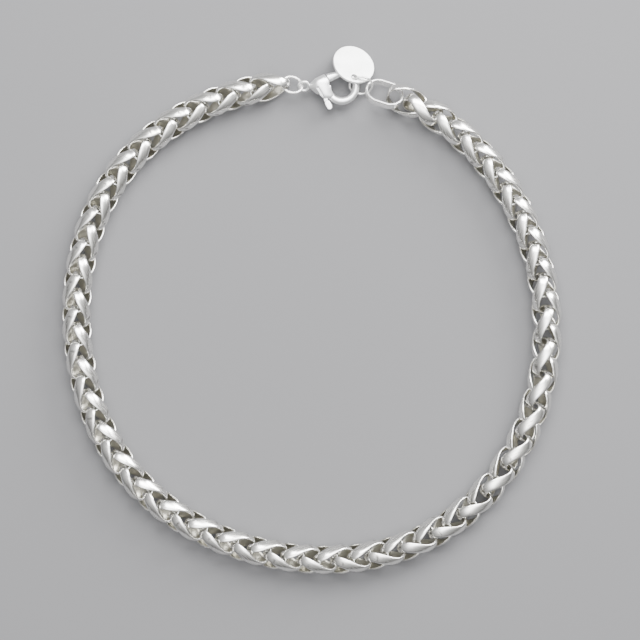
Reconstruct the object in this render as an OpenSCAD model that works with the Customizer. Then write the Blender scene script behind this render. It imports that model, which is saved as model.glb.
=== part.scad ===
// Wheat chain necklace, fastened and lying flat, with a lobster clasp and a round tag.
// Millimetres. The origin is on the surface under the middle of the loop, +Z up,
// and the clasp lies towards +Y.

/* [Chain] */
// Distance from one link to the next along the chain
link_pitch = 4.88; // [4.5:0.01:5.6]
// Links in the whole chain
link_count = 82; // [60:2:102]
// Half the width of a link's loop, to the middle of its ribbon
link_half_w = 3.95; // [3.7:0.05:4.4]
// Widest width of the flattened ribbon
ribbon_w = 3.15; // [2.4:0.05:3.2]
// Width of the ribbon where a link turns at its ends
turn_w = 2.5; // [1.6:0.1:2.6]
// Thickness of the ribbon
ribbon_t = 0.85; // [0.6:0.05:0.9]
// Free play along the chain where one link hooks through another
hook_play = 0.55; // [0.45:0.05:0.65]
// How much closer to each other the links lie towards the chain's end, where they hang slack
end_slack = 0.17; // [0:0.01:0.25]
// How far the end ring draws the last link out of the chain
last_pull = 0.5; // [0:0.1:0.7]
// Squareness of a link's ends, where 2 is an ellipse
link_square = 2.8; // [2.5:0.1:3.4]
// Lean of a link's two ends towards each other, so that its twist falls short of a quarter turn
link_lean = 4; // [2:0.5:6]

/* [Jump ring] */
// Outer diameter of the jump ring
jump_d = 6.6; // [6:0.1:7]
// Wire of the jump ring
jump_wire = 0.75; // [0.6:0.05:0.9]
// Lean of the jump ring about the line of the fastener
jump_lean = 35; // [30:1:38]

/* [Clasp] */
// Distance from the middle of the clasp's eye to the middle of its hook
clasp_reach = 10.9; // [10.5:0.1:12]
// Inner radius of the clasp's hook
hook_in_r = 3.1; // [3:0.05:3.4]
// Round bar of the hook
hook_bar = 2; // [1.9:0.05:2.1]
// Thickness of the clasp's body
body_t = 3.4; // [3.2:0.1:3.8]
// Radius of the hole in the clasp's eye
eye_hole_r = 1.1; // [1.05:0.05:1.3]
// Wire of the clasp's eye
eye_wire = 0.65; // [0.5:0.05:0.7]
// Radius of the pin on which the lever turns
pin_r = 0.5; // [0.4:0.05:0.6]
// Thickness of the lever between the cheeks of the body
lever_t = 1.3; // [1.1:0.1:1.4]
// Length of the lever's gate from the cheeks to the hook's tip
gate_len = 4.9; // [4.5:0.05:5]
// Width of the thumb tab
tab_w = 1.6; // [1.3:0.1:1.7]
// Gap between the lever and the metal that it moves in
lever_gap = 0.15; // [0.1:0.01:0.2]

/* [Tag] */
// Radius of the round tag
tag_r = 6.2; // [6:0.1:6.6]
// Thickness of the round tag
tag_t = 0.8; // [0.6:0.05:0.9]
// Radius of the hole in the tag
tag_hole_r = 1; // [0.95:0.05:1.1]
// Distance from the middle of the tag to its hole
tag_hole_out = 4.5; // [4.2:0.05:4.7]
// Lean of the tag from lying flat
tag_lean = 35; // [32:1:38]
// Outer diameter of the wire ring that carries the tag
tag_ring_d = 7.2; // [7:0.02:7.4]
// Wire of the ring that carries the tag
tag_wire = 0.66; // [0.5:0.02:0.7]
// Lean of the ring that carries the tag
tag_ring_lean = 47; // [45:1:52]

/* [End ring] */
// Length of the oval end ring
end_len = 11.4; // [11:0.1:12]
// Width across the oval end ring
end_w = 8.6; // [8.2:0.1:9.2]
// Width of the strap that the end ring is bent from
strap_w = 2.3; // [2:0.1:2.5]
// Thickness of that strap
strap_t = 0.65; // [0.5:0.05:0.7]
// Lean of the end ring about its long axis
end_lean = 35; // [32:1:38]

/* [Hidden] */

// Route of the loop: how far it departs from a circle.
// Each row holds the waves round the loop and their height along X and along Y,
// as shares of the mean radius.
loop_waves = [
  [1, -0.0031, 0.016],
  [2, -0.0068, -0.0127],
  [3, -0.0044, -0.0014],
  [4, -0.0076, -0.0009],
  [5, 0.0036, -0.0002]
];
// Direction from the middle of the loop to the first link's end
start_angle = 96;
route_steps = 180;

// Turn of the links about the chain's own line.
// Each row holds the share of the chain's length and the turn in degrees.
chain_turn = [
  [0, 4],
  [0.06, 0],
  [0.43, 0],
  [0.53, 7],
  [0.62, 14],
  [0.82, 79],
  [0.92, 85],
  [0.96, 80],
  [1, 50]
];
// Share of the chain's links that lie at the full pitch, before the slack ones
full_share = 0.7;

// A link's own form
link_sections = 16;
// Share of the twist that runs evenly along the link, where the rest gathers in its middle
even_twist = 0.39;
// Steps, in degrees, by which the run of a link's ribbon and of the loop is measured
ribbon_step = 0.1;
loop_step = 1;
// Share of the ribbon's width that its inner face gives up at each edge
ribbon_bevel = 0.15;
// Share of the ribbon's thickness from its middle out to its edges
ribbon_edge = 0.125;
// The round turn brings a link's end this share short over half a ribbon's width
turn_loss = 1 - pow(1 - pow(turn_w / 2 / link_half_w, link_square), 1 / link_square);
link_half_len = (link_pitch + (ribbon_t + hook_play) / 2) / (1 - turn_loss);
chain_z = link_half_w + ribbon_t / 2;

// Clear gap between pieces that hang in each other
hang_gap = 0.2;

// Stations along the fastener's line, from the inside of the first link's end.
// A ring runs round the ribbon's full width, so it lies off the end by less than its radius.
jump_mid_r = (jump_d - jump_wire) / 2;
jump_in_r = jump_mid_r - jump_wire / 2;
jump_y = -0.1;
jump_room = (turn_w / 2 - jump_y) / cos(jump_lean + chain_turn[0][1]);
// The link's turn bends away behind its middle by this much at the ring's height
turn_back = 0.3;
jump_x = sqrt(pow(jump_in_r, 2) - pow(jump_room, 2)) - hang_gap - turn_back;
eye_mid_r = eye_hole_r + eye_wire / 2;
eye_x = jump_x + jump_in_r - hang_gap + eye_hole_r;
eye_y = jump_y;
eye_lean = 32;
// Turn of the clasp from the fastener's line
clasp_turn = 5;
clasp_x = eye_x + clasp_reach * cos(clasp_turn);
clasp_y = eye_y + clasp_reach * sin(clasp_turn);
tag_mid_r = (tag_ring_d - tag_wire) / 2;
// Free room between the hook and the wire of the tag's ring
tag_play = 0.6;
tag_x = clasp_x + hook_in_r - tag_play - tag_wire / 2 + tag_mid_r;
// The tag's ring lies to the gate's side of the hook's middle, and the end ring back from it
tag_side = 0.9;
tag_y = clasp_y + tag_side;
// Free room between the end ring's strap and the far side of the tag's ring
end_play = 1.1;
end_turn = -12;
end_x = tag_x + tag_mid_r - tag_wire / 2 - end_play - strap_t + end_len / 2;
end_side = 1.75;
end_y = tag_y - end_side;
end_right = end_x + end_len / 2 * cos(end_turn);
// Room between the end ring's far end and the link behind the last one
last_play = 0.3;
last_x = end_right - (link_pitch - end_slack + last_pull) + ribbon_t + last_play;

// Heights of the pieces above the surface
// Place of the tag's hole on its ring, in degrees round the ring
tag_hang = 127;
// Direction of the tag's hinge line, and from the middle of the tag to its hole
tag_turn = -35;
tag_hole_dir = -58;
// The wire lies towards the tag's rim in its hole by this much
tag_slip = 0.27;
tag_z = (tag_r - (tag_hole_out + tag_slip) * sin(tag_hole_dir)) * sin(tag_lean)
  + tag_t / 2 * cos(tag_lean) - tag_mid_r * sin(tag_hang) * sin(tag_ring_lean);
// The clasp and the end ring hang lower than the tag's ring by these
clasp_drop = 0.4;
end_drop = 0.1;
clasp_z = tag_z - clasp_drop;
jump_z = chain_z;
jump_pitch = asin((chain_z - clasp_z) / jump_mid_r);
end_z = tag_z - end_drop;

// Loop
fastener_len = last_x;
full_count = full_share * (link_count - 1);
function link_run(i) = i * link_pitch - end_slack * max(0, i - full_count)
  + (i == link_count - 1 ? last_pull : 0);
chain_len = link_run(link_count - 1) + 2 * link_half_len - ribbon_t;
mean_r = (chain_len + fastener_len) / 360 * 180 / PI;
fastener_arc = 2 * mean_r * asin(fastener_len / 2 / mean_r) * PI / 180;

function wave(a, i = 0) = i == len(loop_waves) ? 1
  : wave(a, i + 1) + loop_waves[i][1] * cos(loop_waves[i][0] * a)
    + loop_waves[i][2] * sin(loop_waves[i][0] * a);
function loop_xy(a) = wave(a) * [cos(a), sin(a)];
route = [for (i = [0 : route_steps]) loop_xy(start_angle + 360 * i / route_steps)];
route_table = [
  for (i = 0, s = 0; i <= route_steps;
    s = s + norm(route[min(i + 1, route_steps)] - route[i]), i = i + 1)
    [s, start_angle + 360 * i / route_steps]
];
loop_scale = (chain_len + fastener_arc) / route_table[route_steps][0];

function unit(v) = v / norm(v);
function angle_at(s) = lookup(s / loop_scale, route_table);
function place_at(s) = loop_scale * loop_xy(angle_at(s));
function travel_at(s) = unit(loop_xy(angle_at(s) + loop_step) - loop_xy(angle_at(s) - loop_step));

// Middle of a link's ribbon at an angle round its loop. A link's own axes are
// x outwards, y up and z back along the chain, and hand is 1 or -1.
function power(v, e) = pow(abs(v), e);
function link_reach(a) = 1 / pow(power(cos(a) / link_half_w, link_square)
  + power(sin(a) / link_half_len, link_square), 1 / link_square);
function along(a) = link_reach(a) * sin(a) / link_half_len;
function smooth(u) = u * u * (3 - 2 * u);
function twist_share(u) = even_twist * u + (1 - even_twist) * smooth(u);
function twist(a, hand) = hand * (link_lean + (90 - 2 * link_lean) * twist_share((along(a) + 1) / 2));
function ribbon_mid(a, hand) = [
  link_reach(a) * cos(a) * cos(twist(a, hand)),
  link_reach(a) * cos(a) * sin(twist(a, hand)),
  link_reach(a) * sin(a)
];

// Cross-section of the ribbon: a flat inner face and a crowned outer one
function ribbon_section(w) = [
  [-w / 2 + ribbon_bevel * w, -ribbon_t / 2],
  [w / 2 - ribbon_bevel * w, -ribbon_t / 2],
  [w / 2, ribbon_edge * ribbon_t],
  [0, ribbon_t / 2],
  [-w / 2, ribbon_edge * ribbon_t]
];
ribbon_sides = len(ribbon_section(1));

function section_points(a, hand) =
  let (
    mid = ribbon_mid(a, hand),
    run = unit(ribbon_mid(a + ribbon_step, hand) - ribbon_mid(a - ribbon_step, hand)),
    side = [-sin(twist(a, hand)), cos(twist(a, hand)), 0],
    across = unit(side - (side * run) * run),
    outward = cross(across, run),
    w = turn_w + (ribbon_w - turn_w) * (1 - along(a) * along(a))
  )
  [for (p = ribbon_section(w)) mid + p[0] * across + p[1] * outward];

link_shapes = [
  for (hand = [1, -1])
    [for (j = [0 : link_sections - 1]) each section_points(360 * (j + 0.5) / link_sections, hand)]
];

// All the points of one link where it lies in the chain
function link_points(i) =
  let (
    s = link_half_len - ribbon_t / 2 + link_run(i),
    middle = place_at(s),
    travel = travel_at(s),
    turn = lookup(i / (link_count - 1), chain_turn),
    back = [-travel.x, -travel.y, 0],
    x_axis = [travel.y * cos(turn), -travel.x * cos(turn), sin(turn)],
    y_axis = cross(back, x_axis)
  )
  [
    for (p = link_shapes[i % 2])
      [middle.x, middle.y, chain_z] + p.x * x_axis + p.y * y_axis + p.z * back
  ];

points_each = link_sections * ribbon_sides;
function corner(i, j, k) = i * points_each + (j % link_sections) * ribbon_sides + k % ribbon_sides;

// Loose links from first to last, each a closed loop of ribbon
module links(first, last) {
  polyhedron(
    points = [for (i = [first : last]) each link_points(i)],
    faces = [
      for (i = [0 : last - first], j = [0 : link_sections - 1], k = [0 : ribbon_sides - 1])
        each [
          [corner(i, j, k), corner(i, j, k + 1), corner(i, j + 1, k + 1)],
          [corner(i, j, k), corner(i, j + 1, k + 1), corner(i, j + 1, k)]
        ]
    ],
    convexity = 20
  );
}

half_count = floor(link_count / 2);

module chain_left() color("silver") links(0, half_count - 1);
module chain_right() color("silver") links(half_count, link_count - 1);

// Where the fastener's line starts, and its direction
line_start = place_at(0);
line_end = place_at(chain_len);
line_angle = atan2(line_end.y - line_start.y, line_end.x - line_start.x);

module on_line(x, y, z, turn = 0) {
  translate([line_start.x, line_start.y, 0]) rotate(line_angle) translate([x, y, z]) rotate(turn)
    children();
}

module wire_ring(mid_r, wire) {
  rotate_extrude($fn = 72) translate([mid_r, 0]) circle(d = wire, $fn = 24);
}

module jump_ring() {
  color("silver") on_line(jump_x, jump_y, jump_z) rotate([0, jump_pitch, 0])
    rotate([-jump_lean, 0, 0]) wire_ring(jump_mid_r, jump_wire);
}

// Clasp, in its own frame: the middle of the hook at the origin, the eye towards -X
// and the gate towards +Y.
hook_mid_r = hook_in_r + hook_bar / 2;
neck_r = 1.1;
neck_x = -clasp_reach + eye_hole_r + eye_wire / 2 + neck_r;
pin = [-5.35, 0.9];
// Balls that the body's teardrop is drawn over: their places, and how far those at the
// back and by the gate swell past the body's thickness. The last one lies in the hook's bar.
neck_at = [neck_x, 0.1];
back_at = pin + [-1.2, -0.15];
gate_side_at = pin + [0.6, 0.85];
tab_side_at = pin + [0.65, -3.1];
hook_side_dir = -142;
hook_side_r = 1.2;
back_swell = 0.25;
gate_swell = 0.15;
// Radius of the cheeks where the gate leaves them, and where the tab does
cheek_gate_r = 1.75;
cheek_tab_r = 4.8;
// Direction from the pin of the seam between the cheeks and the gate
seam_dir = 33;
gate_swing = 20;
// The free space for the gate runs this far past its open place and past the seam
swing_room = 30;
seam_over = 1;
slot_t = lever_t + 2 * lever_gap;
// Gate, a tapered bar from its root in the cheeks to its flat end
gate_root = [-4.05, 2.15];
gate_dir = 26;
gate_root_r = 1.15;
gate_end_r = 0.9;
gate_corner = gate_root + gate_len * [cos(gate_dir), sin(gate_dir)]
  + gate_end_r * [-sin(gate_dir), cos(gate_dir)];
gate_reach = norm(gate_corner - pin);
// Angles round the hook between which its bar is drawn before it is cut
hook_from = -170;
hook_to = 92;
bore_gap = 0.02;
// Thumb tab, from the pin to its bend and on to its rounded tip
tab_bend = [-4.5, -4];
tab_full = [-4.04, -4.8];
tab_tip = [-3.45, -5.9];
tab_t = 1.8;
tab_web = 1.2;
// The tab's slot leaves this much more swing than the gate has
spare_swing = 2;
// Longer than any cut through the clasp
through = 20;

module at_pin(turn = 0) {
  translate(pin) rotate(turn) children();
}

module disc(r, h) {
  cylinder(r = r, h = h, center = true, $fn = 96);
}

module sector(from, to, r, h) {
  rotate(from) rotate_extrude(angle = to - from, $fn = 96) translate([0, -h / 2]) square([r, h]);
}

module hook_arc(from, to, bar) {
  rotate(from) rotate_extrude(angle = to - from, $fn = 96) translate([hook_mid_r, 0])
    circle(d = bar, $fn = 28);
}

module bar_outline(from, to, w) {
  run = to - from;
  translate(from) rotate(atan2(run.y, run.x)) {
    circle(d = w, $fn = 48);
    translate([norm(run), 0]) circle(d = w, $fn = 48);
    translate([0, -w / 2]) square([norm(run), w]);
  }
}

module in_clasp() {
  on_line(eye_x, eye_y, clasp_z, clasp_turn) translate([clasp_reach, 0, 0]) children();
}

// Web and tab of the lever in outline, with a margin on each side
module tab_web_outline(margin = 0) {
  bar_outline(pin, tab_bend, tab_web + 2 * margin);
  bar_outline(tab_bend, tab_full, tab_web + 2 * margin);
}

// Room that the tab sweeps between the cheeks, from rest to the open gate
module tab_slot() {
  swing = gate_swing + spare_swing;
  web_dir = atan2(tab_bend.y - pin.y, tab_bend.x - pin.x);
  web_r = norm(tab_full - pin) + tab_web / 2 + lever_gap;
  tab_web_outline(lever_gap);
  translate(pin) rotate(-swing) translate(-pin) tab_web_outline(lever_gap);
  translate(pin) polygon(concat([[0, 0]],
    [for (a = [0 : swing / 4 : swing]) web_r * [cos(web_dir - a), sin(web_dir - a)]]));
}

// Teardrop of the body: neck, back, gate side, tab side and the hook's root
module body_form() {
  big_r = body_t / 2;
  hull() {
    translate(neck_at) sphere(r = neck_r, $fn = 24);
    translate(back_at) sphere(r = big_r + back_swell, $fn = 32);
    translate(gate_side_at) sphere(r = big_r + gate_swell, $fn = 32);
    translate(tab_side_at) sphere(r = big_r, $fn = 32);
    rotate(hook_side_dir) translate([hook_mid_r, 0, 0]) sphere(r = hook_side_r, $fn = 24);
  }
}

module clasp_body() {
  color("silver") in_clasp() {
    difference() {
      union() {
        intersection() {
          body_form();
          union() {
            at_pin() disc(cheek_tab_r, through);
            at_pin() translate([-through / 2, 0, 0]) cube(through, center = true);
          }
        }
        hook_arc(hook_from, hook_to, hook_bar);
      }
      disc(hook_in_r, through);
      at_pin() difference() {
        intersection() {
          disc(gate_reach + lever_gap, through);
          union() {
            sector(seam_dir - gate_swing - swing_room, seam_dir + seam_over, through, through);
            rotate(seam_dir) translate([cheek_gate_r, 0, -through / 2]) cube(through);
          }
        }
        disc(cheek_gate_r, 2 * through);
      }
      at_pin() disc(cheek_gate_r + lever_gap, slot_t);
      linear_extrude(height = slot_t, center = true) tab_slot();
      at_pin() cylinder(r = pin_r + bore_gap, h = through, center = true, $fn = 48);
    }
    translate([-clasp_reach, 0, 0]) rotate([eye_lean, 0, 0]) wire_ring(eye_mid_r, eye_wire);
  }
}

module clasp_lever() {
  root = cheek_gate_r + lever_gap;
  // The web and the gate's cone start this far inside what they join
  sunk = 1;
  color("silver") in_clasp() difference() {
    union() {
      linear_extrude(height = lever_t, center = true) {
        translate(pin) circle(r = cheek_gate_r, $fn = 96);
        bar_outline(pin, pin + (root + sunk) * [cos(seam_dir), sin(seam_dir)], tab_web);
        tab_web_outline();
      }
      difference() {
        translate(gate_root) rotate(gate_dir) rotate([0, 90, 0]) translate([0, 0, -sunk])
          cylinder(r1 = gate_root_r, r2 = gate_end_r, h = gate_len + sunk, $fn = 64);
        at_pin(seam_dir) translate([root - through / 2, 0, 0]) cube(through, center = true);
      }
      linear_extrude(height = tab_t, center = true) bar_outline(tab_full, tab_tip, tab_w);
    }
    at_pin() cylinder(r = pin_r + bore_gap, h = through, center = true, $fn = 48);
  }
}

module clasp_pin() {
  color("silver") in_clasp() at_pin() cylinder(r = pin_r, h = body_t, center = true, $fn = 48);
}

module tag_ring() {
  color("silver") on_line(tag_x, tag_y, tag_z, -line_angle) rotate([tag_ring_lean, 0, 0])
    wire_ring(tag_mid_r, tag_wire);
}

// The tag hangs with its hole round the ring's wire
module tag_disc() {
  hole_way = [cos(tag_hole_dir), sin(tag_hole_dir), 0];
  wire_at = tag_mid_r * [
    cos(tag_hang), sin(tag_hang) * cos(tag_ring_lean), sin(tag_hang) * sin(tag_ring_lean)
  ];
  color("silver") on_line(tag_x, tag_y, tag_z, -line_angle) translate(wire_at)
    rotate(tag_turn) rotate([-tag_lean, 0, 0]) translate(-(tag_hole_out + tag_slip) * hole_way)
      difference() {
        cylinder(r = tag_r, h = tag_t, center = true, $fn = 120);
        translate(tag_hole_out * hole_way)
          cylinder(r = tag_hole_r, h = 4 * tag_t, center = true, $fn = 48);
      }
}

module oval(len, w) {
  square([len - w, w], center = true);
  for (side = [-1, 1]) translate([side * (len - w) / 2, 0]) circle(d = w, $fn = 96);
}

module end_ring() {
  color("silver") on_line(end_x, end_y, end_z, end_turn) rotate([-end_lean, 0, 0])
    linear_extrude(height = strap_w, center = true) difference() {
      oval(end_len, end_w);
      oval(end_len - 2 * strap_t, end_w - 2 * strap_t);
    }
}

chain_left();
chain_right();
jump_ring();
clasp_body();
clasp_lever();
clasp_pin();
tag_ring();
tag_disc();
end_ring();
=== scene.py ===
"""A wheat chain necklace in polished silver, fastened and lying flat on a plain grey table."""

import math

import bmesh
import bpy
import numpy as np
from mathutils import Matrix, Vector


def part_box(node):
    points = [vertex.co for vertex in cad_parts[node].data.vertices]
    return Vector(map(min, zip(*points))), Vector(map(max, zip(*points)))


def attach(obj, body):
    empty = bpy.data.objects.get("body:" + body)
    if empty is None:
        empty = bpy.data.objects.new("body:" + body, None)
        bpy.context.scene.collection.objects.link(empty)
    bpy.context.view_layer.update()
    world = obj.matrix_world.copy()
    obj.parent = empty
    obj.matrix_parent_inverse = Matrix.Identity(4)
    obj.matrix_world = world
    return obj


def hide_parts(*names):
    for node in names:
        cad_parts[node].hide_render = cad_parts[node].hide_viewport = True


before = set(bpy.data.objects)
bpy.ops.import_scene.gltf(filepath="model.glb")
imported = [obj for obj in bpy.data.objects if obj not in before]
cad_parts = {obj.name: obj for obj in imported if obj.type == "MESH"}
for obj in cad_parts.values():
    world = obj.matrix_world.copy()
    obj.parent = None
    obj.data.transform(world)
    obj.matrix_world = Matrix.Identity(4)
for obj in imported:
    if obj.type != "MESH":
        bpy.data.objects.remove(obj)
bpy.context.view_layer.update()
MM = 0.001
BUMP = 0.01 * MM  # how high a relief of 1 stands in the finishes
UV_ROUND = 8  # how far the ribbon's UV runs, once round a link


# Node trees


class Wire:
    """One output of a node. Python operators on it add Math nodes to its tree."""

    def __init__(self, graph, socket):
        self.graph, self.socket = graph, socket

    def out(self, name):
        return Wire(self.graph, self.socket.node.outputs[name])

    def maths(self, operation, *values):
        return self.graph.add("ShaderNodeMath", {"operation": operation}, dict(enumerate(values)))

    def __add__(self, other):
        return self.maths("ADD", self, other)

    def __sub__(self, other):
        return self.maths("SUBTRACT", self, other)

    def __mul__(self, other):
        return self.maths("MULTIPLY", self, other)

    def __truediv__(self, other):
        return self.maths("DIVIDE", self, other)

    def __rsub__(self, other):
        return self.maths("SUBTRACT", other, self)

    def __abs__(self):
        return self.maths("ABSOLUTE", self)

    def __pow__(self, other):
        return self.maths("POWER", self, other)

    def held(self, low=0.0, high=1.0):
        return self.maths("MINIMUM", self.maths("MAXIMUM", self, low), high)

    def __mod__(self, other):
        return self.maths("FLOORED_MODULO", self, other)

    def __lt__(self, other):
        return self.maths("LESS_THAN", self, other)

    def __gt__(self, other):
        return self.maths("GREATER_THAN", self, other)

    __radd__ = __add__
    __rmul__ = __mul__


class Graph:
    """A node tree. Every node comes from add(): its type, its settings, then its sockets."""

    def __init__(self, tree):
        self.tree = tree
        tree.nodes.clear()

    def add(self, kind, settings=None, sockets=None, output=0):
        node = self.tree.nodes.new(kind)
        for name, value in (settings or {}).items():
            if name == "stops":
                ramp = node.color_ramp
                while len(ramp.elements) < len(value):
                    ramp.elements.new(0.5)
                for stop, (place, colour) in zip(ramp.elements, value):
                    stop.position, stop.color = place, colour
            else:
                setattr(node, name, value)
        for name, value in (sockets or {}).items():
            if isinstance(value, Wire):
                self.tree.links.new(value.socket, node.inputs[name])
            else:
                node.inputs[name].default_value = value
        return Wire(self, node.outputs[output] if node.outputs else None)


# Finishes


def colour_mix(graph, factor, first, second):
    return graph.add(
        "ShaderNodeMix", {"data_type": "RGBA"}, {0: factor, 6: first, 7: second}, output=2
    )


def silver(
    name, tone, shade, roughness, wear, grain, grain_size, pits=0.0, metal=1.0, along=None,
    marks=None,
):
    """Silver: tone in the open and shade in its faint stains, with fine polishing lines, soft
    wear and a few small pits. The lines follow the piece's own place, or the vector that along
    gives, and grain_size is their scale on each axis. Marks may change its colour, roughness
    and height."""
    material = bpy.data.materials.new(name)
    material.use_nodes = True
    g = Graph(material.node_tree)
    place = g.add("ShaderNodeTexCoord").out("Object")
    broad = g.add(
        "ShaderNodeTexNoise", None, {"Vector": place, "Scale": 260.0, "Detail": 3.0}
    )
    fine = g.add(
        "ShaderNodeTexNoise", None, {"Vector": place, "Scale": 1400.0, "Detail": 4.0}
    )
    lines_at = g.add(
        "ShaderNodeMapping", None,
        {"Vector": along(g) if along else place, "Scale": grain_size},
    )
    lines = g.add("ShaderNodeTexNoise", None, {"Vector": lines_at, "Scale": 1.0, "Detail": 5.0})
    spots = g.add("ShaderNodeTexVoronoi", None, {"Vector": place, "Scale": 900.0})
    pit = g.add(
        "ShaderNodeValToRGB",
        {"stops": [(0.0, (1, 1, 1, 1)), (0.16, (0, 0, 0, 1))]},
        {"Fac": spots},
    )
    stain = g.add(
        "ShaderNodeValToRGB",
        {"stops": [(0.42, (0, 0, 0, 1)), (0.75, (1, 1, 1, 1))]},
        {"Fac": broad},
    )
    colour = colour_mix(g, stain * 0.6, tone, shade)
    rough = roughness + wear * (broad - 0.5) + 0.5 * wear * (fine - 0.5)
    height = lines * grain - pit * pits
    if marks:
        colour, rough, height = marks(g, broad, fine, colour, rough, height)
    bump = g.add(
        "ShaderNodeBump", None, {"Height": height, "Strength": 1.0, "Distance": BUMP}
    )
    shader = g.add(
        "ShaderNodeBsdfPrincipled", None,
        {"Base Color": colour, "Roughness": rough, "Normal": bump, "Metallic": metal},
    )
    g.add("ShaderNodeOutputMaterial", None, {"Surface": shader})
    return material


def ribbon_uv(graph):
    return graph.add("ShaderNodeUVMap", {"uv_map": "ribbon"})


def link_marks_and_shade(g, broad, fine, colour, rough, height):
    """A link's inner face in a dark yellowish grey, part tarnish and part painted shade of the
    link's inside, grey streaks along its ribbon and two short dark seams. Across the ribbon's UV,
    0 to 0.5 is the outer face and 0.5 to 1 the inner one."""
    seam_at, seam_reach, outer_middle, face_edge = 0.75, 0.13, 0.25, 9.0
    uv = g.add("ShaderNodeSeparateXYZ", None, {0: ribbon_uv(g)})
    run, side = uv.out("X"), uv.out("Y")
    across = side - outer_middle
    inner = ((side - 0.5) * face_edge).held() * ((1.0 - side) * face_edge).held()
    off = abs(run % (UV_ROUND / 2) - seam_at + 0.5 * across + 0.3 * (fine - 0.5))
    seam = (1.0 - off / seam_reach).held() * (1.3 - abs(across) * face_edge).held()
    seam = seam * ((broad - 0.42) * 14.0).held()
    streaks_at = g.add(
        "ShaderNodeMapping", None, {"Vector": ribbon_uv(g), "Scale": (0.9, 26.0, 1.0)}
    )
    streaks = g.add("ShaderNodeTexNoise", None, {"Vector": streaks_at, "Scale": 1.0, "Detail": 2.0})
    streak = ((streaks - 0.54) * 9.0).held() * ((broad - 0.44) * 8.0).held() * (1.0 - inner)
    colour = colour_mix(g, streak * 0.5, colour, (0.46, 0.45, 0.43, 1))
    # The inner face's dark yellowish grey is partly tarnish and partly painted shade of the link's
    # inside
    colour = colour_mix(g, inner * 0.9, colour, (0.34, 0.325, 0.27, 1))
    colour = colour_mix(g, seam * 0.9, colour, (0.12, 0.115, 0.11, 1))
    return colour, rough + inner * 0.1 + (seam + streak) * 0.2, height - seam * 1.5


chain_finish = silver(
    "chain polished silver", (0.965, 0.955, 0.925, 1), (0.83, 0.815, 0.77, 1),
    roughness=0.23, wear=0.1, grain=0.35, grain_size=(2.0, 60.0, 1.0), pits=0.25,
    along=ribbon_uv, marks=link_marks_and_shade,
)
clasp_finish = silver(
    "clasp satin silver", (0.95, 0.95, 0.95, 1), (0.86, 0.865, 0.875, 1),
    roughness=0.32, wear=0.12, grain=0.5, grain_size=(2200.0, 2200.0, 2200.0), pits=0.3,
    metal=0.85,
)
ring_finish = silver(
    "ring bright silver", (0.96, 0.955, 0.945, 1), (0.88, 0.87, 0.85, 1),
    roughness=0.26, wear=0.08, grain=0.25, grain_size=(1600.0, 1600.0, 1600.0), metal=0.8,
)
tag_finish = silver(
    "tag frosted silver", (0.97, 0.97, 0.965, 1), (0.76, 0.76, 0.74, 1),
    roughness=0.42, wear=0.14, grain=0.3, grain_size=(300.0, 5200.0, 300.0), pits=0.1,
    metal=0.6,
)


# Chain, with the route and the links' sizes as in the solids, in millimetres


PITCH, LINKS, HALF_W, RIBBON_T, PLAY = 4.88, 82, 3.95, 0.85, 0.55
WIDE, TURN = 3.15, 2.5  # the ribbon's width at a link's middle and at its turns
SQUARE = 2.8  # the power of a link's oval, 2 for an ellipse
SLACK, FULL_SHARE = 0.17, 0.7  # links past this share of the chain lie closer by the slack
PULL = 0.5  # how far the last link is drawn on
LEAN = math.radians(4)  # what a link's twist lacks of a quarter turn at each end
EVEN = 0.39  # the share of that twist which runs evenly
INSET = 0.1  # what the crowned ribbon is narrower than the solids' one
# The loop's form: how many waves round it, with their cosine and sine parts
WAVES = [
    (1, -0.0031, 0.016), (2, -0.0068, -0.0127), (3, -0.0044, -0.0014),
    (4, -0.0076, -0.0009), (5, 0.0036, -0.0002),
]
START = 96  # where the first link's end lies round the loop, in degrees
# The links' roll in degrees, by their share of the chain
ROLL = [
    (0, 4), (0.06, 0), (0.43, 0), (0.53, 7), (0.62, 14), (0.82, 79), (0.92, 85), (0.96, 80),
    (1, 50),
]
FASTENER = 29.5208  # the straight distance between the chain's ends
CLASP_TURN = 5  # the clasp's turn against that line, in degrees
TURN_LOSS = 1 - (1 - (TURN / 2 / HALF_W) ** SQUARE) ** (1 / SQUARE)
HALF_LEN = (PITCH + (RIBBON_T + PLAY) / 2) / (1 - TURN_LOSS)
CHAIN_Z = HALF_W + RIBBON_T / 2


def link_run(i):
    pull = PULL * (i >= LINKS - 1)
    return i * PITCH - SLACK * np.maximum(0, i - FULL_SHARE * (LINKS - 1)) + pull


CHAIN_LEN = link_run(LINKS - 1) + 2 * HALF_LEN - RIBBON_T


def loop_xy(degrees):
    a = math.radians(degrees)
    wave = 1 + sum(c * math.cos(n * a) + s * math.sin(n * a) for n, c, s in WAVES)
    return np.array([wave * math.cos(a), wave * math.sin(a)])


def loop_places(runs):
    """Places, in millimetres, that lie this far along the loop from the first link's end."""
    steps = 180
    angles = START + 360 * np.arange(steps + 1) / steps
    points = np.array([loop_xy(a) for a in angles])
    lengths = np.concatenate([[0], np.cumsum(np.linalg.norm(np.diff(points, axis=0), axis=1))])
    mean_r = (CHAIN_LEN + FASTENER) / (2 * math.pi)
    arc = 2 * mean_r * math.asin(FASTENER / 2 / mean_r)
    scale = (CHAIN_LEN + arc) / lengths[-1]
    return np.array([scale * loop_xy(np.interp(x / scale, lengths, angles)) for x in runs])


def chain_route():
    """Places of the links' middles, one more at each end, and each one's roll in radians."""
    i = np.arange(-1, LINKS + 1)
    places = loop_places(HALF_LEN - RIBBON_T / 2 + link_run(i))
    rolls = np.interp(i / (LINKS - 1), *zip(*ROLL))
    return [(x * MM, y * MM, CHAIN_Z * MM) for x, y in places], np.radians(rolls)


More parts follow.
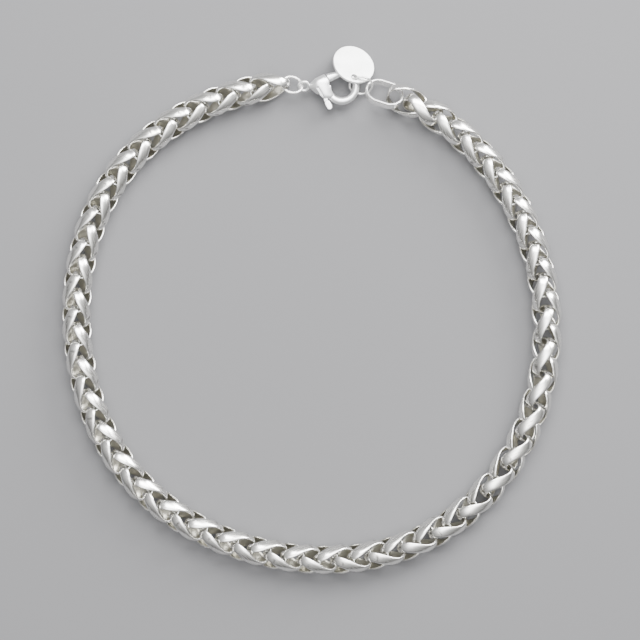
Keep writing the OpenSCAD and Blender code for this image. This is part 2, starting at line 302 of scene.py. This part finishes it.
def route_curve(name, places, rolls):
    """A line through the links' middles whose tilt is the links' roll."""
    curve = bpy.data.curves.new(name, "CURVE")
    curve.dimensions, curve.twist_mode = "3D", "Z_UP"
    line = curve.splines.new("POLY")
    line.points.add(len(places) - 1)
    for point, place, roll in zip(line.points, places, rolls):
        point.co = (*place, 1)
        point.tilt = -roll
    obj = bpy.data.objects.new(name, curve)
    bpy.context.scene.collection.objects.link(obj)
    return obj


def mesh_object(name, points, faces, uvs=None, smooth=True):
    mesh = bpy.data.meshes.new(name)
    mesh.from_pydata([tuple(p) for p in points], [], faces)
    if uvs is not None:
        layer = mesh.uv_layers.new(name="ribbon")
        for face, corners in zip(mesh.polygons, uvs):
            for loop, uv in zip(face.loop_indices, corners):
                layer.data[loop].uv = uv
    mesh.shade_smooth() if smooth else mesh.shade_flat()
    obj = bpy.data.objects.new(name, mesh)
    bpy.context.scene.collection.objects.link(obj)
    return obj


def smoothstep(u):
    return u * u * (3 - 2 * u)


def ramp(x, start, reach):
    """0 up to start and 1 from start + reach on, eased. A reach below 0 runs the other way."""
    return smoothstep(np.clip((x - start) / reach, 0, 1))


def link_mesh(name, hand):
    """One link: a flat ribbon with a crowned outer face, bent to a long loop and twisted by
    a quarter turn from one end to the other."""
    stations, sides, step = 88, 16, 0.002
    edge, crown, bed = 0.75, 1.25, 0.35  # powers of the section's edges, outer and inner face
    a = 2 * math.pi * np.arange(stations) / stations

    def reach(a):
        x, z = abs(np.cos(a)) / (HALF_W - INSET), abs(np.sin(a)) / HALF_LEN
        return (x ** SQUARE + z ** SQUARE) ** (-1 / SQUARE)

    def twist(a):
        u = (reach(a) * np.sin(a) / HALF_LEN + 1) / 2
        return hand * (LEAN + (math.pi / 2 - 2 * LEAN) * (EVEN * u + (1 - EVEN) * smoothstep(u)))

    def middle(a):
        r, t = reach(a), twist(a)
        return np.stack([r * np.cos(a) * np.cos(t), r * np.cos(a) * np.sin(t), r * np.sin(a)], -1)

    run = middle(a + step) - middle(a - step)
    run /= np.linalg.norm(run, axis=1)[:, None]
    t = twist(a)
    side = np.stack([-np.sin(t), np.cos(t), 0 * t], -1)
    across = side - (side * run).sum(1)[:, None] * run
    across /= np.linalg.norm(across, axis=1)[:, None]
    outward = np.cross(across, run)
    along = reach(a) * np.sin(a) / HALF_LEN
    width = TURN + (WIDE - TURN) * (1 - along ** 2)
    b = 2 * math.pi * np.arange(sides) / sides
    # A lens with a flat inner face: the outer face is crowned to the ribbon's full height
    flat = np.sign(np.cos(b)) * abs(np.cos(b)) ** edge
    rise = np.where(np.sin(b) > 0, abs(np.sin(b)) ** crown, -abs(np.sin(b)) ** bed)
    points = (
        middle(a)[:, None, :]
        + across[:, None, :] * (width[:, None] / 2 * flat[None, :])[:, :, None]
        + outward[:, None, :] * (RIBBON_T / 2 * rise)[None, :, None]
    ) * MM
    faces, uvs = [], []
    for j in range(stations):
        for k in range(sides):
            j2, k2 = (j + 1) % stations, (k + 1) % sides
            corners = [(j, k), (j, k2), (j2, k2), (j2, k)]
            faces.append([p * sides + q for p, q in corners])
            u0, v0 = j / stations * UV_ROUND, k / sides
            u1, v1 = (j + 1) / stations * UV_ROUND, (k + 1) / sides
            uvs.append([(u0, v0), (u0, v1), (u1, v1), (u1, v0)])
    obj = mesh_object(name, points.reshape(-1, 3), faces, uvs)
    mend_normals(obj)
    return obj


def mend_normals(obj):
    bm = bmesh.new()
    bm.from_mesh(obj.data)
    bmesh.ops.recalc_face_normals(bm, faces=bm.faces)
    bm.to_mesh(obj.data)
    bm.free()


def socket_id(tree, name):
    return next(
        s.identifier for s in tree.interface.items_tree
        if s.item_type == "SOCKET" and s.in_out == "INPUT" and s.name == name
    )


def geometry_tree(name, inputs):
    """A new Geometry Nodes tree with these named inputs, and its graph."""
    tree = bpy.data.node_groups.new(name, "GeometryNodeTree")
    tree.interface.new_socket("Geometry", in_out="INPUT", socket_type="NodeSocketGeometry")
    tree.interface.new_socket("Geometry", in_out="OUTPUT", socket_type="NodeSocketGeometry")
    for label, kind, value in inputs:
        socket = tree.interface.new_socket(label, in_out="INPUT", socket_type=kind)
        if value is not None:
            socket.default_value = value
    return tree, Graph(tree)


def grown(name, host, tree, values):
    """The plain mesh that the tree makes of its host, which is then removed."""
    modifier = host.modifiers.new(tree.name, "NODES")
    modifier.node_group = tree
    for label, value in values.items():
        modifier[socket_id(tree, label)] = value
    bpy.context.view_layer.update()
    depsgraph = bpy.context.evaluated_depsgraph_get()
    mesh = bpy.data.meshes.new_from_object(host.evaluated_get(depsgraph), depsgraph=depsgraph)
    mesh.name = name
    host.modifiers.clear()
    obj = bpy.data.objects.new(name, mesh)
    bpy.context.scene.collection.objects.link(obj)
    bpy.data.objects.remove(host)
    return obj


def chain_tree():
    """Links along a line: at each of its points but the end ones stands a link, turned to the
    line's direction and tilt, with every other one the mirror image."""
    tree, g = geometry_tree("links along the chain", [
        ("Link", "NodeSocketObject", None),
        ("Mirrored link", "NodeSocketObject", None),
        ("First link", "NodeSocketInt", 0),
        ("Finish", "NodeSocketMaterial", None),
    ])
    given = g.add("NodeGroupInput")
    dots = g.add("GeometryNodeCurveToPoints", {"mode": "EVALUATED"}, {"Curve": given})
    turn = g.add(
        "FunctionNodeAxesToRotation", {"primary_axis": "Z", "secondary_axis": "X"},
        {
            "Primary Axis": g.add(
                "ShaderNodeVectorMath", {"operation": "SCALE"},
                {0: dots.out("Tangent"), "Scale": -1.0},
            ),
            "Secondary Axis": dots.out("Normal"),
        },
    )
    index = g.add("GeometryNodeInputIndex")
    odd = (index - 1 + given.out("First link")) % 2.0
    spot = g.add(
        "GeometryNodeStoreNamedAttribute", {"data_type": "FLOAT", "domain": "POINT"},
        {"Geometry": dots, "Name": "other hand", "Value": odd},
    )
    facing = g.add(
        "GeometryNodeStoreNamedAttribute", {"data_type": "QUATERNION", "domain": "POINT"},
        {"Geometry": spot, "Name": "facing", "Value": turn},
    )
    count = g.add(
        "GeometryNodeAttributeDomainSize", {"component": "POINTCLOUD"}, {"Geometry": facing}
    )
    ends = g.add(
        "FunctionNodeBooleanMath", {"operation": "OR"},
        {0: index < 0.5, 1: index > (count - 1.5)},
    )
    kept = g.add(
        "GeometryNodeDeleteGeometry", {"domain": "POINT"}, {"Geometry": facing, "Selection": ends}
    )
    hand = g.add(
        "GeometryNodeInputNamedAttribute", {"data_type": "FLOAT"}, {"Name": "other hand"}
    )
    facing_back = g.add(
        "GeometryNodeInputNamedAttribute", {"data_type": "QUATERNION"}, {"Name": "facing"}
    )
    link = g.add("GeometryNodeObjectInfo", None, {"Object": given.out("Link")}).out("Geometry")
    mirrored = g.add(
        "GeometryNodeObjectInfo", None, {"Object": given.out("Mirrored link")}
    ).out("Geometry")
    rows = []
    for shape, wanted in ((link, hand < 0.5), (mirrored, hand > 0.5)):
        rows.append(g.add(
            "GeometryNodeInstanceOnPoints", None,
            {"Points": kept, "Selection": wanted, "Instance": shape, "Rotation": facing_back},
        ))
    both = g.add("GeometryNodeJoinGeometry")
    for row in rows:
        tree.links.new(row.socket, both.socket.node.inputs[0])
    real = g.add("GeometryNodeRealizeInstances", None, {"Geometry": both})
    done = g.add(
        "GeometryNodeSetMaterial", None, {"Geometry": real, "Material": given.out("Finish")}
    )
    g.add("NodeGroupOutput", None, {0: done})
    return tree


def make_chain():
    places, rolls = chain_route()
    half = LINKS // 2
    link, mirrored = link_mesh("link", 1), link_mesh("link_mirrored", -1)
    tree = chain_tree()
    made = []
    for name, first, last in (("links_left", 0, half - 1), ("links_right", half, LINKS - 1)):
        span = slice(first, last + 3)
        host = route_curve(name + "_line", places[span], rolls[span])
        made.append(grown(name, host, tree, {
            "Link": link, "Mirrored link": mirrored, "First link": first, "Finish": chain_finish,
        }))
    for spare in (link, mirrored):
        bpy.data.objects.remove(spare)
    return made


links_left, links_right = make_chain()
for piece, node in ((links_left, "chain_left"), (links_right, "chain_right")):
    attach(piece, "necklace")
    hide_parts(node)


# Fastener


def dress(piece, body, finish, slot, *nodes):
    piece.data.materials.clear()
    piece.data.materials.append(finish)
    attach(piece, body)
    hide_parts(*nodes)


def joined(*nodes):
    """A mesh of copies of these solids, each with its loose triangles joined."""
    bm = bmesh.new()
    for node in nodes:
        bm.from_mesh(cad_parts[node].data)
    bmesh.ops.remove_doubles(bm, verts=bm.verts, dist=1e-7)
    return bm


def own_axes(node):
    """Middle of a solid's surface, its axes with the longest first, and its corners."""
    bm = joined(node)
    bmesh.ops.triangulate(bm, faces=bm.faces)
    t = np.array([[tuple(v.co) for v in f.verts] for f in bm.faces])
    corners = np.array([tuple(v.co) for v in bm.verts])
    bm.free()
    area = np.linalg.norm(np.cross(t[:, 1] - t[:, 0], t[:, 2] - t[:, 0]), axis=1) / 2
    area /= area.sum()
    total = t.sum(1)
    middle = (area[:, None] * total / 3).sum(0)
    spread = np.einsum("n,nij,nik->jk", area, t, t) + np.einsum("n,nj,nk->jk", area, total, total)
    axes = np.linalg.eigh(spread / 12 - np.outer(middle, middle))[1][:, ::-1].T
    if axes[2][2] < 0:
        axes[2] *= -1
    axes[1] = np.cross(axes[2], axes[0])
    return middle, axes, corners


def band(name, middle, axes, path, section):
    """A closed band: a section, given outwards and sideways, carried round a flat path."""
    run = np.roll(path, -1, 0) - np.roll(path, 1, 0)
    run /= np.linalg.norm(run, axis=1)[:, None]
    out = np.stack([run[:, 1], -run[:, 0]], -1)
    flat = path[:, None, :] + out[:, None, :] * section[..., 0, None]
    points = middle + flat @ axes[:2] + section[..., 1, None] * axes[2]
    n, m = len(path), section.shape[-2]
    faces = [
        [j * m + k, j * m + (k + 1) % m, (j + 1) % n * m + (k + 1) % m, (j + 1) % n * m + k]
        for j in range(n) for k in range(m)
    ]
    obj = mesh_object(name, points.reshape(-1, 3), faces)
    mend_normals(obj)
    return obj


def wire_ring(name, node, seam_at, fuller=0.0):
    """A round wire bent to a ring and soldered shut, with a slight swell and a fine crease at
    its seam. Fuller is what its radius has more than the solid's."""
    stations, sides = 120, 20
    swell_by, swell_reach, crease_by, crease_reach = 0.07, 0.13, 0.1, 0.025
    middle, axes, corners = own_axes(node)
    away = corners - middle
    radii = np.linalg.norm(away - np.outer(away @ axes[2], axes[2]), axis=1)
    ring_r, wire_r = (radii.max() + radii.min()) / 2, (radii.max() - radii.min()) / 2
    a = 2 * math.pi * np.arange(stations) / stations
    b = 2 * math.pi * np.arange(sides) / sides
    off = (a - seam_at + math.pi) % (2 * math.pi) - math.pi
    swell = swell_by * np.exp(-(off / swell_reach) ** 2)
    swell = 1 + swell - crease_by * np.exp(-(off / crease_reach) ** 2)
    section = (wire_r + fuller) * swell[:, None, None] * np.stack([np.cos(b), np.sin(b)], -1)[None]
    return band(name, middle, axes, ring_r * np.stack([np.cos(a), np.sin(a)], -1), section)


def strap_ring(name, node):
    """A flat strap bent to an oval ring, with rounded edges and a slightly crowned face."""
    middle, axes, corners = own_axes(node)
    length, width, strap = np.ptp((corners - middle) @ axes.T, axis=0)
    thick, edge, crown = 0.74 * MM, 0.4, 0.3
    stations, straight, sides = 96, 8, 28
    quarter = stations // 4
    bend = (width - thick) / 2
    half = (length - width) / 2
    a = 2 * math.pi * (np.arange(stations) + 0.5) / stations
    path = np.stack([bend * np.cos(a) + half * np.sign(np.cos(a)), bend * np.sin(a)], -1)
    between = np.linspace(-1, 1, straight + 2)[1:-1, None]
    top = np.array([[0, 1]]) * bend - between * np.array([[1, 0]]) * half
    path = np.concatenate(
        [path[:quarter], top, path[quarter:3 * quarter], -top, path[3 * quarter:]]
    )
    b = 2 * math.pi * np.arange(sides) / sides
    side = np.sign(np.sin(b)) * abs(np.sin(b)) ** edge
    rise = np.sign(np.cos(b)) * abs(np.cos(b)) ** edge * (1 - crown * side ** 2 * (np.cos(b) > 0))
    section = np.stack([thick / 2 * rise, strap / 2 * side], -1)
    return band(name, middle, axes, path, np.repeat(section[None], len(path), 0))


def rounded_plate(name, node, edge):
    """A copy of a plate with its sharp edges rounded."""
    bm = joined(node)
    bmesh.ops.dissolve_limit(bm, angle_limit=math.radians(1), verts=bm.verts, edges=bm.edges)
    sharp = [e for e in bm.edges if e.calc_face_angle(0) > math.radians(50)]
    bmesh.ops.bevel(
        bm, geom=sharp, offset=edge, offset_type="OFFSET", segments=4, profile=0.5,
        affect="EDGES",
    )
    faces = [f for f in bm.faces if len(f.verts) > 12]
    bmesh.ops.inset_region(bm, faces=faces, thickness=edge / 3)
    bmesh.ops.triangulate(bm, faces=[f for f in bm.faces if len(f.verts) > 4])
    mesh = bpy.data.meshes.new(name)
    bm.to_mesh(mesh)
    bm.free()
    mesh.shade_smooth()
    obj = bpy.data.objects.new(name, mesh)
    bpy.context.scene.collection.objects.link(obj)
    return obj


def cast_mesh(bm, grain):
    """An even skin over these solids, with pieces that overlap grown together. It is made
    large and brought back, because the remesh takes no finer grain."""
    large = 100.0
    for v in bm.verts:
        v.co *= large
    mesh = bpy.data.meshes.new("cast")
    bm.to_mesh(mesh)
    bm.free()
    host = bpy.data.objects.new("cast", mesh)
    bpy.context.scene.collection.objects.link(host)
    remesh = host.modifiers.new("skin", "REMESH")
    remesh.mode, remesh.voxel_size = "VOXEL", grain * large
    bpy.context.view_layer.update()
    depsgraph = bpy.context.evaluated_depsgraph_get()
    skin = bpy.data.meshes.new_from_object(host.evaluated_get(depsgraph), depsgraph=depsgraph)
    bpy.data.objects.remove(host)
    points = np.empty(len(skin.vertices) * 3)
    skin.vertices.foreach_get("co", points)
    edges = np.empty(len(skin.edges) * 2, int)
    skin.edges.foreach_get("vertices", edges)
    return skin, points.reshape(-1, 3) / large, edges.reshape(-1, 2)


def eased(points, edges, share, turns, keep=0.0):
    """Points drawn to their neighbours' middle by a share, and pushed back by keep."""
    here, there = np.concatenate([edges, edges[:, ::-1]]).T
    count = np.bincount(here, minlength=len(points))[:, None]
    for turn in range(turns):
        for step in (share, -keep):
            if np.any(step):
                total = np.stack(
                    [np.bincount(here, points[there, k], len(points)) for k in range(3)], -1
                )
                points = points + np.reshape(step, (-1, 1)) * (total / count - points)
    return points


def finish_cast(name, skin, points, swell=None):
    """The skin at these points, which a swell moves on along its normals."""
    skin.vertices.foreach_set("co", points.ravel())
    skin.update()
    if swell is not None:
        normals = np.empty(points.size, np.float32)
        skin.vertex_normals.foreach_get("vector", normals)
        points = points + swell[:, None] * normals.reshape(-1, 3)
        skin.vertices.foreach_set("co", points.ravel())
        skin.update()
    skin.shade_smooth()
    skin.name = name
    obj = bpy.data.objects.new(name, skin)
    bpy.context.scene.collection.objects.link(obj)
    return obj


class ClaspPlace:
    """The clasp's own frame, in millimetres: the middle of its hook, with its eye towards -X."""

    pin_at = np.array([-5.35, 0.9, 0])

    def __init__(self):
        start, end = loop_places([0, CHAIN_LEN])
        turn = math.atan2(*(end - start)[::-1]) + math.radians(CLASP_TURN)
        c, s = math.cos(turn), math.sin(turn)
        self.axes = np.array([[c, s, 0], [-s, c, 0], [0, 0, 1]])
        low, high = np.array(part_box("clasp_pin"))
        self.pin = (low + high) / 2
        self.middle = self.pin - self.pin_at * MM @ self.axes

    def inside(self, points):
        return (points - self.middle) @ self.axes.T / MM


def line_off(points, start, end):
    """How far points lie from a straight line between two places."""
    start, way = np.array(start), np.array(end) - np.array(start)
    along = np.clip((points - start) @ way / (way @ way), 0, 1)
    return np.linalg.norm(points - start - along[:, None] * way, axis=1)


clasp_place = ClaspPlace()
SHARE, KEEP = 0.5, 0.52  # of a first smoothing that keeps the castings' size


def make_clasp():
    """Body with its pin grown in, smoothed as a casting, with the groove in its front. Around
    the pin it cuts into the lever, a fault that report.md describes."""
    pin_scale = (1.16, 1.16, 0.95)
    groove_start, groove_end, groove_depth, groove_width = (-6.9, -0.5), (-5.2, -3.3), 0.4, 0.2
    fuller_eye, fuller_hook = 0.09, 0.15
    hook_low, hook_spread, hook_reach = -95, 32, 5.4
    bm = joined("clasp_body")
    pin = joined("clasp_pin")
    for v in pin.verts:
        off = np.array(v.co) - clasp_place.pin
        v.co = clasp_place.pin + off * pin_scale
    spare = bpy.data.meshes.new("pin")
    pin.to_mesh(spare)
    pin.free()
    bm.from_mesh(spare)
    skin, points, edges = cast_mesh(bm, 0.09 * MM)
    points = eased(points, edges, SHARE, 6, KEEP)
    x = clasp_place.inside(points)[:, 0]
    # Its middle is smoothed on, and then its height alone
    body = ramp(x, -3.0, -1.4) * ramp(x, -9.8, 0.9)
    points = eased(points, edges, SHARE * body, 45)
    flat = points[:, :2].copy()
    points = eased(points, edges, SHARE * body, 500)
    points[:, :2] = flat
    local = clasp_place.inside(points)
    off = line_off(local[:, :2], groove_start, groove_end)
    level = np.clip(2 * abs(local[:, 2]) - 0.6, 0, 1)
    dip = groove_depth * np.exp(-(off / groove_width) ** 2) * level
    points[:, 2] -= np.sign(local[:, 2]) * dip * MM
    eye = ramp(local[:, 0], -9.2, -0.5)
    bend = np.degrees(np.arctan2(local[:, 1], local[:, 0]))
    hook = np.exp(-((bend - hook_low) / hook_spread) ** 2)
    hook = hook * (np.hypot(local[:, 0], local[:, 1]) < hook_reach)
    swell = (fuller_eye * eye + fuller_hook * hook) * MM
    return finish_cast("clasp_cast_body", skin, points, swell)


def make_lever():
    """Lever smoothed as a casting, its gate made fuller outwards near the root."""
    root, lean, fuller = (-4.05, 2.15), math.radians(26), 0.42 * MM
    skin, points, edges = cast_mesh(joined("clasp_lever"), 0.08 * MM)
    points = eased(points, edges, SHARE, 8, KEEP)
    points = eased(points, edges, SHARE, 6)
    local = clasp_place.inside(points)[:, :2] - root
    c, s = math.cos(lean), math.sin(lean)
    along, off = local @ (c, s), local @ (-s, c)
    full = ramp(off, -0.6, 1.2) * ramp(along, 3.4, -3.4)
    push = fuller * full * ramp(along, -1.6, 0.8)
    points += push[:, None] * (np.array([-s, c, 0]) @ clasp_place.axes)
    return finish_cast("clasp_cast_lever", skin, points)


dress(make_clasp(), "necklace", clasp_finish, "clasp_silver", "clasp_body", "clasp_pin")
dress(make_lever(), "lever", clasp_finish, "clasp_silver", "clasp_lever")
jump_wire = wire_ring("jump_wire", "jump_ring", 2.2, 0.05 * MM)
dress(jump_wire, "necklace", ring_finish, "fastener_silver", "jump_ring")
tag_wire = wire_ring("tag_wire", "tag_ring", 4.4)
dress(tag_wire, "necklace", ring_finish, "fastener_silver", "tag_ring")
end_strap = strap_ring("end_strap", "end_ring")
dress(end_strap, "necklace", ring_finish, "fastener_silver", "end_ring")
tag_plate = rounded_plate("tag_plate", "tag_disc", 0.12 * MM)
dress(tag_plate, "necklace", tag_finish, "tag_silver", "tag_disc")


# Floor, light and camera


def floor():
    """A plain grey table, darker than the silver that lies on it."""
    obj = mesh_object(
        "floor", [(-2, -2, 0), (2, -2, 0), (2, 2, 0), (-2, 2, 0)], [(0, 1, 2, 3)], smooth=False
    )
    material = bpy.data.materials.new("grey table")
    material.use_nodes = True
    g = Graph(material.node_tree)
    shader = g.add(
        "ShaderNodeBsdfPrincipled", None,
        {"Base Color": (0.17, 0.17, 0.175, 1), "Roughness": 0.9, "Specular IOR Level": 0.1},
    )
    g.add("ShaderNodeOutputMaterial", None, {"Surface": shader})
    obj.data.materials.append(material)


def softbox(name, place, aim, size, power):
    light = bpy.data.lights.new(name, "AREA")
    light.shape, light.size, light.size_y, light.energy = "RECTANGLE", size[0], size[1], power
    obj = bpy.data.objects.new(name, light)
    obj.location = place
    obj.rotation_euler = (Vector(aim) - Vector(place)).to_track_quat("-Z", "Y").to_euler()
    bpy.context.scene.collection.objects.link(obj)


def studio():
    """A dome that is brightest overhead and behind the clasp, with two softboxes."""
    world = bpy.data.worlds.new("studio")
    world.use_nodes = True
    g = Graph(world.node_tree)
    way = g.add("ShaderNodeSeparateXYZ", None, {0: g.add("ShaderNodeTexCoord").out("Generated")})
    up = way.out("Z").held()
    least, dome, overhead, behind = 0.06, 0.8, 8.0, 0.3
    glow = least + dome * up ** 1.1 + overhead * up ** 15.0 + behind * way.out("Y").held()
    back = g.add("ShaderNodeBackground", None, {"Color": (1.0, 1.0, 1.0, 1), "Strength": glow})
    g.add("ShaderNodeOutputWorld", None, {"Surface": back})
    bpy.context.scene.world = world
    softbox("key", (0.05, 0.42, 0.6), (0, 0, 0), (0.6, 0.35), 10.0)
    softbox("tag side", (0.5, 0.55, 0.35), (0, 0.05, 0), (0.4, 0.4), 14.0)


def overhead_camera():
    """Straight down, with 0.288 mm to a pixel at the height of the chain's middle."""
    distance, frame_mm, sensor = 0.9, 184.32, 36.0
    data = bpy.data.cameras.new("camera")
    data.sensor_width, data.lens = sensor, sensor * distance * 1000 / frame_mm
    data.clip_start, data.clip_end = 0.01, 10
    obj = bpy.data.objects.new("camera", data)
    obj.location = (0.0021, 0.00144, distance + CHAIN_Z * MM)
    bpy.context.scene.collection.objects.link(obj)
    bpy.context.scene.camera = obj


floor()
studio()
overhead_camera()
